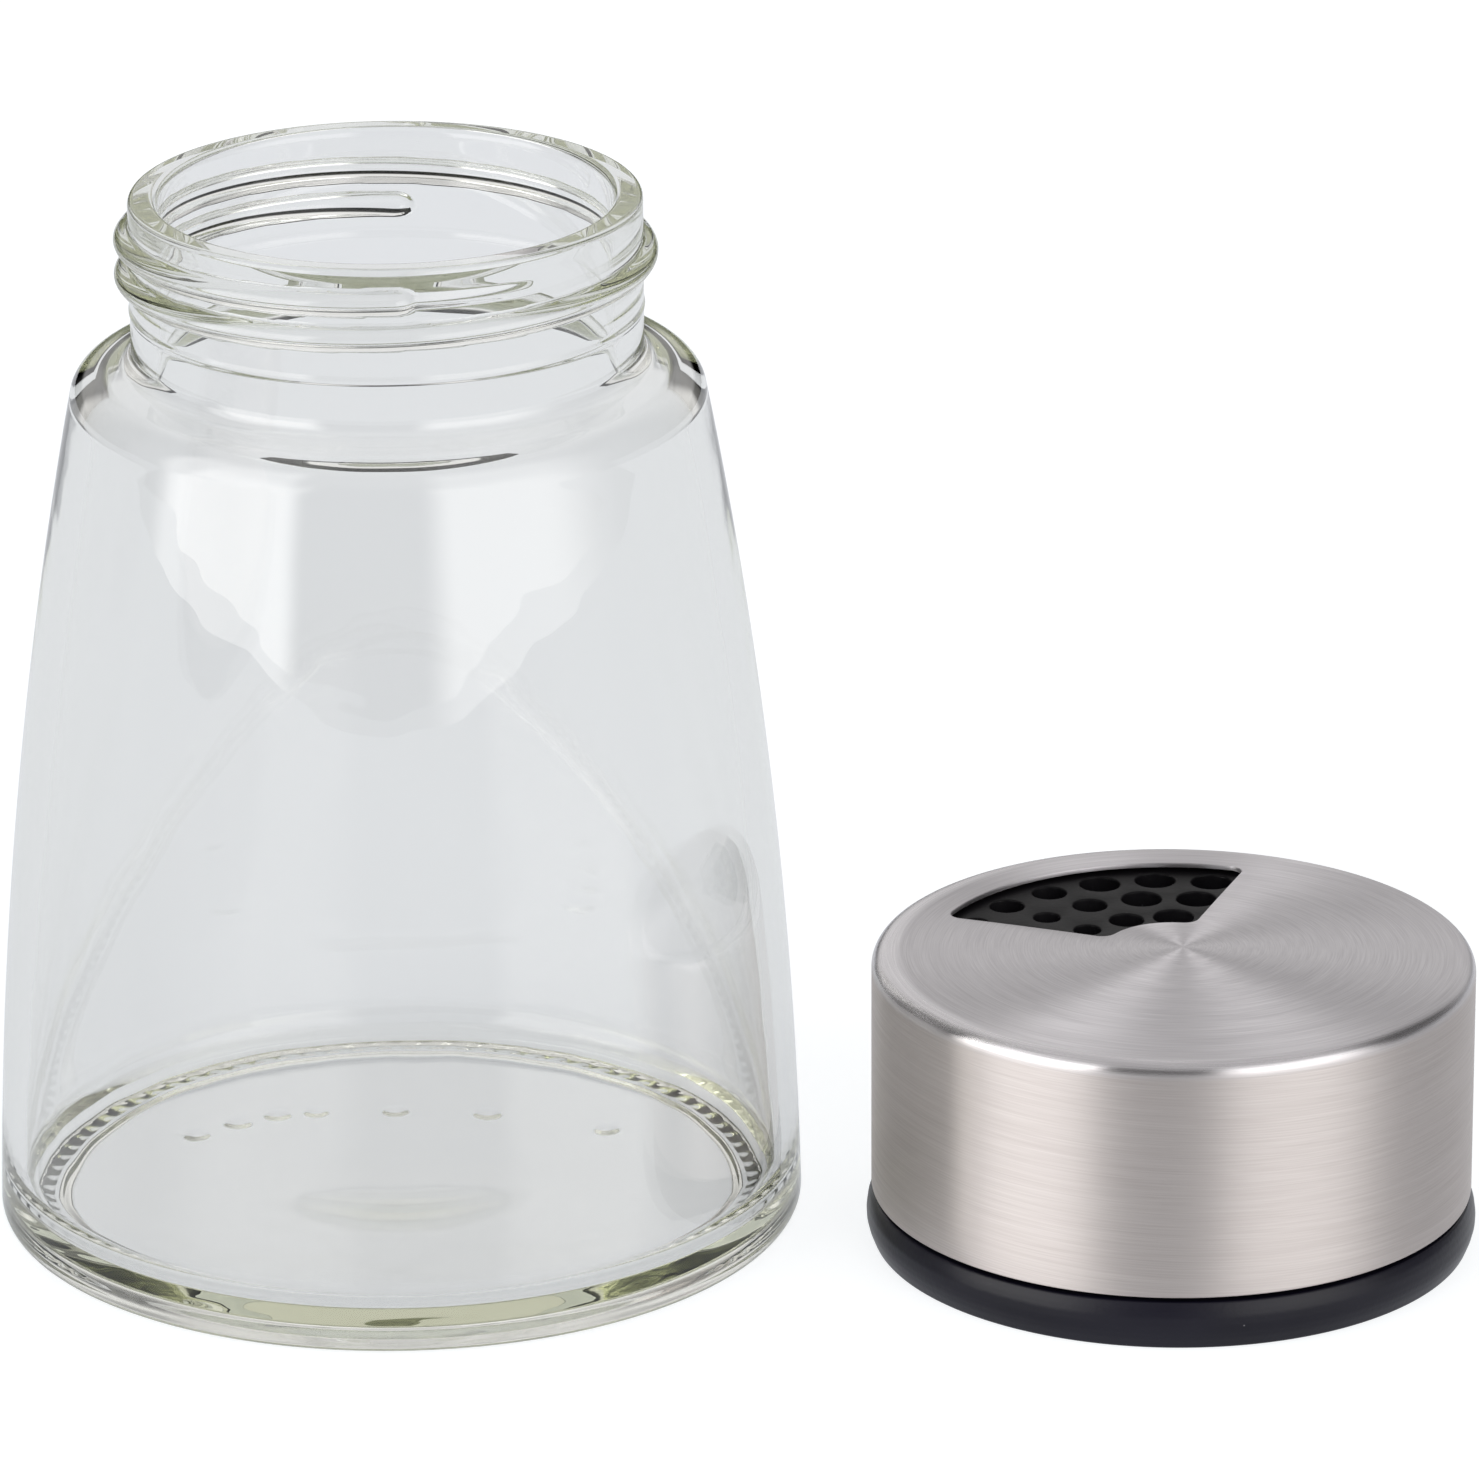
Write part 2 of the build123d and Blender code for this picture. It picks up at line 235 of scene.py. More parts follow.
def glass_material():
    """Clear soda-lime glass with the faint olive tint that shows in its thick parts."""
    n = Nodes("jar_glass")
    shader = n.add("ShaderNodeBsdfPrincipled")
    shader.inputs["Base Color"].default_value = (1.0, 1.0, 1.0, 1.0)
    shader.inputs["Roughness"].default_value = 0.0
    shader.inputs["IOR"].default_value = 1.52
    shader.inputs["Transmission Weight"].default_value = 1.0
    coordinates = n.add("ShaderNodeTexCoord")
    waves = n.noise(coordinates.outputs["Object"], 160.0, detail=1.0)
    n.link(n.bump(waves, 0.00002), shader.inputs["Normal"])
    absorption = n.add("ShaderNodeVolumeAbsorption")
    absorption.inputs["Color"].default_value = (0.80, 0.81, 0.69, 1.0)
    absorption.inputs["Density"].default_value = 36.0
    n.link(shader.outputs["BSDF"], n.output.inputs["Surface"])
    n.link(absorption.outputs["Volume"], n.output.inputs["Volume"])
    return n.material


def steel_material():
    """Brushed stainless steel: lathe-turned rings on the top that run on as fine lines round the skirt, with
    a painted reflection tint that makes the top cooler and greyer than the skirt.
    """
    n = Nodes("brushed_steel")
    shader = n.add("ShaderNodeBsdfPrincipled")
    shader.inputs["Metallic"].default_value = 1.0
    shader.inputs["Anisotropic"].default_value = 0.88
    shader.inputs["Anisotropic Rotation"].default_value = 0.25
    coordinates = n.add("ShaderNodeTexCoord")
    offset = n.add("ShaderNodeVectorMath", operation="SUBTRACT")
    offset.inputs[1].default_value = (LID_AXIS.x + BRUSH_CENTRE_OFFSET, LID_AXIS.y, 0.0)
    n.link(coordinates.outputs["Object"], offset.inputs[0])
    split = n.add("ShaderNodeSeparateXYZ")
    n.link(offset.outputs[0], split.inputs[0])
    x, y, z = split.outputs
    radius = n.math("SQRT", n.math("ADD", n.math("MULTIPLY", x, x), n.math("MULTIPLY", y, y)))
    round_vector = n.add("ShaderNodeCombineXYZ")
    n.link(n.math("MULTIPLY", y, -1.0), round_vector.inputs[0])
    n.link(x, round_vector.inputs[1])
    to_world = n.add("ShaderNodeVectorTransform", vector_type="VECTOR",
                     convert_from="OBJECT", convert_to="WORLD")
    n.link(round_vector.outputs[0], to_world.inputs[0])
    tangent = n.add("ShaderNodeVectorMath", operation="NORMALIZE")
    n.link(to_world.outputs[0], tangent.inputs[0])
    n.link(tangent.outputs[0], shader.inputs["Tangent"])

    def brush_lines(across, around):
        """Noise that is fine across the brushing and long around the axis."""
        along = n.math("DIVIDE", around, radius)
        vector = n.add("ShaderNodeCombineXYZ")
        n.link(n.math("MULTIPLY", x, along), vector.inputs[0])
        n.link(n.math("MULTIPLY", y, along), vector.inputs[1])
        n.link(n.math("MULTIPLY", n.math("SUBTRACT", radius, z), across), vector.inputs[2])
        return vector.outputs[0]

    fine = n.noise(brush_lines(9000.0, 3.0), 1.0, detail=2.0, roughness=0.6)
    broad = n.noise(brush_lines(1500.0, 1.2), 1.0, detail=3.0, roughness=0.6)
    lines = n.math("ADD", n.math("MULTIPLY", fine, 0.6), n.math("MULTIPLY", broad, 0.4))
    # Painted reflection tint: the top and rim get a cooler, greyer colour than the skirt, though both are
    # one steel sheet, standing in for the different light each reflects.
    painted_top_reflection_tint = n.add("ShaderNodeMix", data_type="RGBA")
    n.link(n.range(z, CAP_RIM - 1.4 * MM, CAP_RIM - 0.5 * MM, 0.0, 1.0), painted_top_reflection_tint.inputs["Factor"])
    n.link(n.ramp(lines, [(0.30, (0.62, 0.565, 0.54)), (0.70, (0.76, 0.71, 0.685))]), painted_top_reflection_tint.inputs["A"])
    n.link(n.ramp(lines, [(0.34, (0.575, 0.555, 0.575)), (0.66, (0.74, 0.72, 0.74))]), painted_top_reflection_tint.inputs["B"])
    n.link(painted_top_reflection_tint.outputs["Result"], shader.inputs["Base Color"])
    drop = n.math("SUBTRACT", z, CAP_RIM - 1.3 * MM)
    near_rim = n.math("MULTIPLY", n.range(drop, 0.0, 0.7 * MM, 0.0, 1.0),
                      n.range(radius, CAP_EDGE - 1.6 * MM, CAP_EDGE - 0.9 * MM, 0.0, 1.0))
    rough = n.range(broad, 0.3, 0.7, 0.46, 0.54)
    n.link(n.math("SUBTRACT", rough, n.math("MULTIPLY", near_rim, 0.24)), shader.inputs["Roughness"])
    n.link(n.bump(lines, 0.00002, 0.5), shader.inputs["Normal"])
    n.link(shader.outputs["BSDF"], n.output.inputs["Surface"])
    return n.material


def plastic_material(name, base, roughness, grain, dust, shine=0.3):
    """Satin moulded plastic with a fine grain and a few dust specks."""
    n = Nodes(name)
    shader = n.add("ShaderNodeBsdfPrincipled")
    shader.inputs["IOR"].default_value = 1.49
    shader.inputs["Specular IOR Level"].default_value = shine
    coordinates = n.add("ShaderNodeTexCoord").outputs["Object"]
    cloud = n.noise(coordinates, 90.0, detail=3.0)
    cells = n.add("ShaderNodeTexVoronoi")
    cells.inputs["Scale"].default_value = 620.0
    n.link(coordinates, cells.inputs["Vector"])
    pick = n.add("ShaderNodeSeparateColor")
    n.link(cells.outputs["Color"], pick.inputs[0])
    speck = n.math("MULTIPLY", n.range(cells.outputs["Distance"], 0.03, 0.06, 1.0, 0.0),
                   n.math("GREATER_THAN", pick.outputs[0], 0.8))
    dusty = n.math("MULTIPLY", speck, dust, clamp=True)
    mix = n.add("ShaderNodeMix", data_type="RGBA")
    n.link(dusty, mix.inputs["Factor"])
    low = tuple(0.8 * c for c in base)
    high = tuple(1.25 * c for c in base)
    n.link(n.ramp(cloud, [(0.3, low), (0.7, high)]), mix.inputs["A"])
    mix.inputs["B"].default_value = (0.16, 0.16, 0.17, 1.0)
    n.link(mix.outputs["Result"], shader.inputs["Base Color"])
    n.link(n.range(cloud, 0.3, 0.7, roughness - 0.04, roughness + 0.05), shader.inputs["Roughness"])
    n.link(n.bump(n.noise(coordinates, 2600.0, detail=2.0), grain, 0.6), shader.inputs["Normal"])
    n.link(shader.outputs["BSDF"], n.output.inputs["Surface"])
    return n.material


GLASS = glass_material()
STEEL = steel_material()
BLACK = plastic_material("black_plastic", (0.006, 0.0055, 0.012), 0.34, 0.00002, 1.0)
SIFTER_BLACK = plastic_material("sifter_plastic", (0.006, 0.0055, 0.0065), 0.40, 0.00002, 0.4, 0.1)
SILICONE = plastic_material("silicone", (0.34, 0.34, 0.33), 0.55, 0.00002, 0.0)


# ---------------------------------------------------------------- glass jar
PITCH = 2.8
THREAD_START_Z, THREAD_START_ANGLE, THREAD_TURNS = 77.25, math.radians(90), 1.51
THREAD_HEIGHT, THREAD_HALF_WIDTH = 1.15, 1.04


def thread_height(angles, heights, start_z, start_angle, turns, crest, half_width, run_in, run_out=0.0,
                  first_crest=1.0):
    """How far a helical bead stands off its wall at each angle and height."""
    total = np.zeros_like(angles)
    for lap in range(-1, int(turns) + 2):
        turn = (angles - start_angle) / (2 * math.pi) + lap
        centre = start_z + PITCH * np.clip(turn, 0, turns)
        across = (heights - centre) / half_width
        past_end = np.maximum(np.maximum(-turn, turn - turns), 0) * 2 * math.pi * 20 / run_in
        distance = np.sqrt(across ** 2 + past_end ** 2)
        growth = first_crest + (1 - first_crest) * np.clip(turn / 0.1, 0, 1)
        bead = crest * growth * np.clip(1 - distance ** 2, 0, 1) ** 0.75
        total = np.maximum(total, bead)
        if run_out > 0:
            beyond = (turn - turns) * 360
            fade = np.clip(1 - beyond / 34, 0, 1) * (beyond > 0)
            low_ridge = run_out * fade * np.clip(1 - (across / 0.55) ** 2, 0, 1)
            total = np.maximum(total, low_ridge)
    return total


def jar_thread(angles, radii, heights):
    """The neck's screw thread, and the low line that the mould leaves below it."""
    ridge = thread_height(angles, heights, THREAD_START_Z, THREAD_START_ANGLE, THREAD_TURNS,
                          THREAD_HEIGHT, THREAD_HALF_WIDTH, run_in=1.7, run_out=0.28,
                          first_crest=0.5)
    parting = 0.1 * np.exp(-((heights - 75.1) / 0.3) ** 2)
    return radii + ridge + parting, heights


KNURLS = 80
RING_INNER, RING_OUTER = 27.7, 30.7
DOT_PLACES = [
    (-16.9, 8.6), (-13.7, 11.0), (-10.6, 12.6), (-7.4, 13.2), (-0.8, 13.2), (6.6, 12.6), (16.4, 9.4),
]


def base_relief(angles, radii, heights):
    """The underside: short radial bars that the jar stands on, and a row of small dots in the punt."""
    phase = np.abs(((angles * KNURLS / (2 * math.pi)) + 0.5) % 1 - 0.5) * 2
    across = 0.5 + 0.5 * np.cos(math.pi * phase)
    along = np.clip(1 - ((radii - 29.3) / 1.15) ** 4, 0, 1)
    on_ring = (radii > RING_INNER) & (radii < RING_OUTER)
    land = np.clip((radii - RING_INNER) / 0.4, 0, 1) * np.clip((RING_OUTER - radii) / 0.4, 0, 1)
    heights = heights + np.where(on_ring, 0.06 * land * (1 - across * along), 0)
    x, y = radii * np.cos(angles), radii * np.sin(angles)
    for dot_x, dot_y in DOT_PLACES:
        distance = np.hypot(x - dot_x, y - dot_y) / 1.1
        heights = heights - 0.35 * np.clip(1 - distance ** 2, 0, 1)
    return radii, heights


def inner_waves(angles, radii, heights):
    """The slight unevenness of the blown inside."""
    swell = (np.cos(3 * angles + 0.4) + 0.8 * np.cos(5 * angles + heights / 17 + 2.1)
             + 0.5 * np.cos(11 * angles - heights / 11 + 0.9))
    return radii + 0.014 * swell, heights


HEEL_ROUND = 1.4
INNER_FLOOR, INNER_CORNER, FLOOR_RISE = 2.6, 3.0, 0.6
INNER_BASE = 29.75
BORE_END = 73.6
INNER_SHOULDER = [(17.65, 75.0, 0), (17.65, 69.6, 3.2), (22.6, 68.0, 2.0), (23.2, 63.0, 0)]


def build_jar():
    rows = []
    inner_shoulder = rounded_outline(INNER_SHOULDER, steps=14)[1:-1]

    def add(points, segments, shape=None, skip_first=True):
        for r, z in points[1 if skip_first else 0:]:
            rows.append(circle_row(r, z, segments, shape))

    def punt(r):
        """The underside's height: raised inside the ring, with a shallow bulge in the middle."""
        edge = min(max((27.65 - r) / 1.5, 0), 1)
        button = max(1 - (r / 12.5) ** 2, 0) ** 2
        return 0.9 * edge ** 2 * (3 - 2 * edge) - 0.42 * button

    rows.append(circle_row(0, punt(0), 1))
    add([(r, punt(r)) for r in np.linspace(0.8, 8.0, 8)], 240, None, False)
    add([(r, punt(r)) for r in np.linspace(8.4, 19.9, 47)], 480, base_relief, False)
    add([(r, punt(r)) for r in np.linspace(20.5, 26.0, 7)], 480, base_relief, False)
    add([(r, punt(r)) for r in np.linspace(26.15, 27.7, 12)], 480, base_relief, False)
    add([(r, 0.0) for r in np.linspace(27.85, 28.1, 2)], 480, base_relief, False)
    add([(r, 0.0) for r in np.linspace(28.2, 30.6, 13)], 960, base_relief, False)
    add(arc_points((30.6, 0), (31.59, 0.41), (32.0, HEEL_ROUND), 10), 480)
    add(arc_points((32.0, HEEL_ROUND), (29.34, 39.0), (24.85, 67.9), 44), 240)
    add(arc_points((24.85, 67.9), (24.25, 69.35), (22.6, 70.3), 14), 240)
    add(line_points((22.6, 70.3), (20.95, 70.67), 3), 240)
    add(arc_points((20.95, 70.67), (20.23, 71.05), (19.95, 71.85), 7), 480)
    add(line_points((19.95, 71.85), (19.95, 74.6), 8), 480, jar_thread)
    add(line_points((19.95, 74.6), (19.95, 82.9), 76), 480, jar_thread)
    add(line_points((19.95, 82.9), (19.95, 83.5), 1), 480)
    add(arc_points((19.95, 83.5), (19.804, 83.854), (19.45, 84.0), 7), 480)
    add(line_points((19.45, 84.0), (18.35, 84.0), 2), 480)
    add(arc_points((18.35, 84.0), (17.855, 83.795), (17.65, 83.3), 7), 480)
    add(line_points((17.65, 83.3), (17.65, BORE_END), 8), 240)
    add(inner_shoulder, 240)
    corner_top = (INNER_BASE, INNER_FLOOR + INNER_CORNER)
    sagitta = INNER_CORNER * (1 - math.sqrt(0.5))
    add(arc_points(inner_shoulder[-1], (26.94, 39.0), corner_top, 50), 240, inner_waves)
    add(arc_points(corner_top, (INNER_BASE - sagitta, INNER_FLOOR + sagitta),
                   (INNER_BASE - INNER_CORNER, INNER_FLOOR), 12), 240)
    floor_edge = INNER_BASE - INNER_CORNER
    add([(r, INNER_FLOOR + FLOOR_RISE * (1 - (r / floor_edge) ** 2))
         for r in np.linspace(floor_edge, 1.0, 26)], 240)
    rows.append(circle_row(0, INNER_FLOOR + FLOOR_RISE, 1))
    vertices, faces = bridge(rows, closed=False)
    return make_piece("jar_glass", vertices, faces, JAR_AXIS, GLASS, "jar", "glass_jar", 80.0)


build_jar()


# ---------------------------------------------------------------- lid: collar, seal, sifter disc
def outline_rows(points, segments, shape=None, max_step=None):
    """Rows of a ring piece from its closed outline, with long runs divided where max_step is given."""
    rows = []
    for index, (r, z) in enumerate(points):
        rows.append(circle_row(r, z, segments, shape))
        if max_step:
            next_r, next_z = points[(index + 1) % len(points)]
            count = int(math.hypot(next_r - r, next_z - z) / max_step)
            for k in range(1, count):
                t = k / count
                rows.append(circle_row(r + (next_r - r) * t, z + (next_z - z) * t, segments, shape))
    return rows


def collar_thread(angles, radii, heights):
    inside = (radii > 21.2) & (radii < 21.4) & (heights > 0.7) & (heights < 13.3)
    ridge = thread_height(angles, heights, 3.0, 0.0, 1.4, 0.95, 1.0, run_in=1.1)
    return radii - np.where(inside, ridge, 0), heights


collar = rounded_outline([
    (21.9, 0.0, 0.1), (23.62, 0.0, 0.32), (23.98, 0.9, 0), (24.13, 1.5, 0), (24.15, 2.0, 0), (24.06, 2.7, 0),
    (23.9, 3.25, 0), (23.62, 3.85, 0.25), (22.4, 3.85, 0.15), (22.4, 15.9, 0.1), (21.75, 15.9, 0.1),
    (21.75, 18.2, 0.1), (22.4, 18.2, 0.15), (22.4, 21.55, 0.15), (20.6, 21.55, 0.2), (20.6, 14.8, 0.3),
    (17.4, 14.8, 0.2), (17.4, 13.6, 0.1), (21.3, 13.6, 0.15), (21.3, 0.6, 0.1),
])
vertices, faces = bridge(outline_rows(collar, 320, collar_thread, max_step=0.16), closed=True)
make_piece("lid_collar", vertices, faces, LID_AXIS, BLACK, "lid_base", "screw_collar", 40.0)

seal = rounded_outline([
    (17.6, 12.4, 0.25), (18.4, 12.4, 0), (21.1, 12.4, 0.25), (21.1, 13.6, 0.08), (17.6, 13.6, 0.08),
])
vertices, faces = bridge(outline_rows(seal, 240), closed=True)
make_piece("lid_seal", vertices, faces, LID_AXIS, SILICONE, "lid_base", "lip_seal", 40.0)

DISC_TOP, DISC_BOTTOM, DISC_RADIUS, TRACK_RADIUS = 23.05, 21.55, 22.35, 20.95
TRACK_ANGLES = (215.0, 390.0)
COARSE, MEDIUM, FINE = 3.2, 2.75, 2.15
HOLE_ROWS = [
    (17.35, 47.5, 15.0, 5 * [COARSE] + 2 * [MEDIUM] + 4 * [FINE]),
    (13.35, 60.7, 18.95, 3 * [COARSE] + [MEDIUM] + 4 * [FINE]),
    (9.2, 63.5, 24.0, 2 * [COARSE] + [MEDIUM] + 3 * [FINE]),
]


def flat_face(loops, z):
    """Triangles that fill the first loop around the others."""
    points, edges = [], []
    for loop in loops:
        first = len(points)
        points += [Vector(p) for p in loop]
        edges += [(first + k, first + (k + 1) % len(loop)) for k in range(len(loop))]
    done, _, triangles, _, _, _ = delaunay_2d_cdt(points, edges, [], 1, 1e-7)
    places = np.array([tuple(p) for p in done])
    centre = places[np.array(triangles)].mean(axis=1)
    crossings = np.zeros(len(centre), int)
    for loop in loops:
        a = np.array(loop)
        for (ax, ay), (bx, by) in zip(a, np.roll(a, -1, axis=0)):
            spans = (ay > centre[:, 1]) != (by > centre[:, 1])
            if spans.any():
                crossings += spans & (centre[:, 0] < ax + (bx - ax) * (centre[:, 1] - ay) / (by - ay))
    keep = [tuple(t) for t, count in zip(triangles, crossings) if count % 2]
    return [(x, y, z) for x, y in places], keep


class Soup:
    """Collects patches of vertices and faces, then welds the points that coincide."""

    def __init__(self):
        self.vertices, self.faces, self.known = [], [], {}

    def point(self, p):
        key = tuple(round(c * 1e4) for c in p)
        if key not in self.known:
            self.known[key] = len(self.vertices)
            self.vertices.append(tuple(p))
        return self.known[key]

    def patch(self, points, faces, flip=False):
        ids = [self.point(p) for p in points]
        for face in faces:
            face = tuple(ids[k] for k in face)
            if len(set(face)) == len(face):
                self.faces.append(tuple(reversed(face)) if flip else face)

    def tube(self, loops, flip=False):
        vertices, faces = bridge([np.array(loop) for loop in loops], closed=False)
        self.patch([tuple(v) for v in vertices], faces, flip)


def circle_loop(cx, cy, radius, segments):
    turns = [2 * math.pi * k / segments for k in range(segments)]
    return [(cx + radius * math.cos(a), cy + radius * math.sin(a)) for a in turns]


def at_height(loop, z):
    return [(x, y, z) for x, y in loop]


def build_sifter():
    soup = Soup()
    outline = []
    for degree in range(0, 360):
        in_track = (degree - TRACK_ANGLES[0]) % 360 <= TRACK_ANGLES[1] - TRACK_ANGLES[0]
        radius = TRACK_RADIUS if in_track else DISC_RADIUS
        outline.append((radius * math.cos(math.radians(degree)), radius * math.sin(math.radians(degree))))
    holes, edge_round, steps = [], 0.16, 4
    for row_radius, first, spacing, diameters in HOLE_ROWS:
        for index, diameter in enumerate(diameters):
            angle = math.radians(first + index * spacing)
            holes.append((row_radius * math.cos(angle), row_radius * math.sin(angle), diameter / 2))
    wide = [circle_loop(x, y, r + edge_round, 48) for x, y, r in holes]
    narrow = [circle_loop(x, y, r, 48) for x, y, r in holes]
    soup.patch(*flat_face([outline] + wide, DISC_TOP))
    for x, y, r in holes:
        loops = []
        for k in range(steps + 1):
            a = math.pi / 2 * k / steps
            loops.append(at_height(circle_loop(x, y, r + edge_round * (1 - math.sin(a)), 48),
                                   DISC_TOP - edge_round * (1 - math.cos(a))))
        loops.append(at_height(circle_loop(x, y, r, 48), DISC_BOTTOM))
        soup.tube(loops)
    inner, outer = circle_loop(0, 0, 19.65, 240), circle_loop(0, 0, 20.55, 240)
    soup.patch(*flat_face([inner] + narrow, DISC_BOTTOM), flip=True)
    soup.patch(*flat_face([outline, outer], DISC_BOTTOM), flip=True)
    soup.tube([at_height(outline, DISC_BOTTOM), at_height(outline, DISC_TOP)])
    soup.tube([at_height(inner, DISC_BOTTOM), at_height(inner, 19.6), at_height(outer, 19.6),
               at_height(outer, DISC_BOTTOM)], flip=True)
    return make_piece("lid_sifter", soup.vertices, soup.faces, LID_AXIS, SIFTER_BLACK, "lid_base",
                      "sifter_disc", 30.0)


build_sifter()


# ---------------------------------------------------------------- lid: steel cap and its carrier
CAP_RADIUS, CAP_STEEL, EDGE_ROUND, CROWN_Z, CROWN_DROP = 23.78, 0.4, 1.2, 24.1, 0.45
FLAT_RADIUS = CAP_RADIUS - EDGE_ROUND
WINDOW_RADII, WINDOW_ANGLES, WINDOW_ROUND = (5.45, 19.35), (70.3, 156.5), 1.2
SKIRT_Z = 4.25


def fan_outline(inner, outer, angles, corner, step):
    """The window's outline, anticlockwise, as points and outward normals."""
    start, end = (math.radians(a) for a in angles)
    points = []

    def arc(cx, cy, radius, a0, a1):
        count = max(4, int(abs(a1 - a0) * radius / step))
        for k in range(count):
            a = a0 + (a1 - a0) * k / count
            side = 1 if a1 > a0 else -1
            points.append((cx + radius * math.cos(a), cy + radius * math.sin(a),
                           side * math.cos(a), side * math.sin(a)))

    def straight(x0, y0, x1, y1):
        length = math.hypot(x1 - x0, y1 - y0)
        nx, ny = (y1 - y0) / length, -(x1 - x0) / length
        count = max(2, int(length / step))
        for k in range(count):
            t = k / count
            points.append((x0 + (x1 - x0) * t, y0 + (y1 - y0) * t, nx, ny))

    at_outer = outer - corner
    tilt_outer = math.asin(corner / at_outer)
    at_inner = inner + corner
    tilt_inner = math.asin(corner / at_inner)
    run_outer = at_outer * math.cos(tilt_outer)
    run_inner = at_inner * math.cos(tilt_inner)

    def polar(radius, angle):
        return radius * math.cos(angle), radius * math.sin(angle)

    straight(*polar(run_inner, start), *polar(run_outer, start))
    arc(*polar(at_outer, start + tilt_outer), corner, start - math.pi / 2, start + tilt_outer)
    arc(0, 0, outer, start + tilt_outer, end - tilt_outer)
    arc(*polar(at_outer, end - tilt_outer), corner, end - tilt_outer, end + math.pi / 2)
    straight(*polar(run_outer, end), *polar(run_inner, end))
    arc(*polar(at_inner, end - tilt_inner), corner, end + math.pi / 2, end - tilt_inner + math.pi)
    arc(0, 0, inner, end - tilt_inner, start + tilt_inner)
    arc(*polar(at_inner, start + tilt_inner), corner, start + tilt_inner + math.pi, start + 3 * math.pi / 2)
    return np.array(points)


def crown(radius, lower=0.0):
    return CROWN_Z - lower - CROWN_DROP * (radius / FLAT_RADIUS) ** 2


def build_cap():
    window = fan_outline(*WINDOW_RADII, WINDOW_ANGLES, WINDOW_ROUND, 0.11)
    middle = math.radians(sum(WINDOW_ANGLES) / 2)
    eye = np.array([13.2 * math.cos(middle), 13.2 * math.sin(middle)])
    edge, normal = window[:, :2], window[:, 2:]

    def seen_circle(radius):
        """Points of a circle about the axis, in the window's points' directions from its middle."""
        way = edge - eye
        way = way / np.linalg.norm(way, axis=1)[:, None]
        along = way @ eye
        reach = -along + np.sqrt(along ** 2 - eye @ eye + radius ** 2)
        return eye + way * reach[:, None]

    def row(xy, z):
        heights = np.broadcast_to(z, (len(xy),))
        return np.column_stack([xy, heights])

    rim_angle = math.atan(2 * CROWN_DROP / FLAT_RADIUS)
    top_end = seen_circle(FLAT_RADIUS + EDGE_ROUND * math.sin(rim_angle))
    soft, thin = 0.12, 0.05
    rows = []
    top_start = edge + normal * soft
    for t in np.linspace(0, 1, 15):
        xy = top_start + (top_end - top_start) * t
        rows.append(row(xy, crown(np.linalg.norm(xy, axis=1))))
    for a in np.linspace(rim_angle, math.pi / 2, 19)[1:]:
        rows.append(row(seen_circle(FLAT_RADIUS + EDGE_ROUND * math.sin(a)),
                        CROWN_Z - CROWN_DROP - EDGE_ROUND + EDGE_ROUND * math.cos(a)))
    skirt_top = CROWN_Z - CROWN_DROP - EDGE_ROUND
    hem = CAP_STEEL / 2
    for z in np.linspace(skirt_top, SKIRT_Z + hem, 9)[1:]:
        rows.append(row(seen_circle(CAP_RADIUS), z))
    for a in np.linspace(0, math.pi, 9)[1:]:
        rows.append(row(seen_circle(CAP_RADIUS - hem + hem * math.cos(a)),
                        SKIRT_Z + hem - hem * math.sin(a)))
    rows.append(row(seen_circle(CAP_RADIUS - CAP_STEEL), skirt_top))
    inner_round = EDGE_ROUND - CAP_STEEL
    for a in np.linspace(math.pi / 2, rim_angle, 9)[1:]:
        rows.append(row(seen_circle(FLAT_RADIUS + inner_round * math.sin(a)),
                        skirt_top + inner_round * math.cos(a)))
    under_end = seen_circle(FLAT_RADIUS + inner_round * math.sin(rim_angle))
    under_start = edge + normal * thin
    for t in np.linspace(1, 0, 9)[1:]:
        xy = under_start + (under_end - under_start) * t
        rows.append(row(xy, crown(np.linalg.norm(xy, axis=1), CAP_STEEL)))
    top_z, under_z = crown(np.linalg.norm(edge, axis=1)), crown(np.linalg.norm(edge, axis=1), CAP_STEEL)
    rows.append(row(edge, under_z + thin))
    for a in np.linspace(0, math.pi / 2, 5)[:-1]:
        rows.append(row(edge + normal * soft * (1 - math.cos(a)), top_z - soft + soft * math.sin(a)))
    vertices, faces = bridge(rows, closed=True)
    return make_piece("cap_steel", vertices, faces, LID_AXIS, STEEL, "cap", "cap_shell", 50.0)


build_cap()


def carrier_tooth(angles, radii, heights):
    """The stop tooth stands inwards from the carrier's top edge."""
    off_centre = np.abs((np.degrees(angles) - 250.0 + 180.0) % 360.0 - 180.0)
    in_tooth = off_centre < 4.0
    at_top = (heights > 21.7) & (radii < 22.9)
    return np.where(in_tooth & at_top, 21.25, radii), heights


carrier = rounded_outline([
    (23.38, 4.6, 0.1), (23.38, 22.2, 0.1), (22.7, 22.2, 0), (22.7, 21.8, 0), (22.7, 21.7, 0),
    (22.7, 17.9, 0), (22.0, 17.9, 0.1), (22.0, 16.9, 0.1), (22.7, 16.2, 0), (22.7, 4.6, 0.1),
])
vertices, faces = bridge(outline_rows(carrier, 360, carrier_tooth), closed=True)
make_piece("cap_ring", vertices, faces, LID_AXIS, BLACK, "cap", "cap_carrier", 40.0)


# ---------------------------------------------------------------- floor, light and camera
FLOOR_DROP = 0.00005


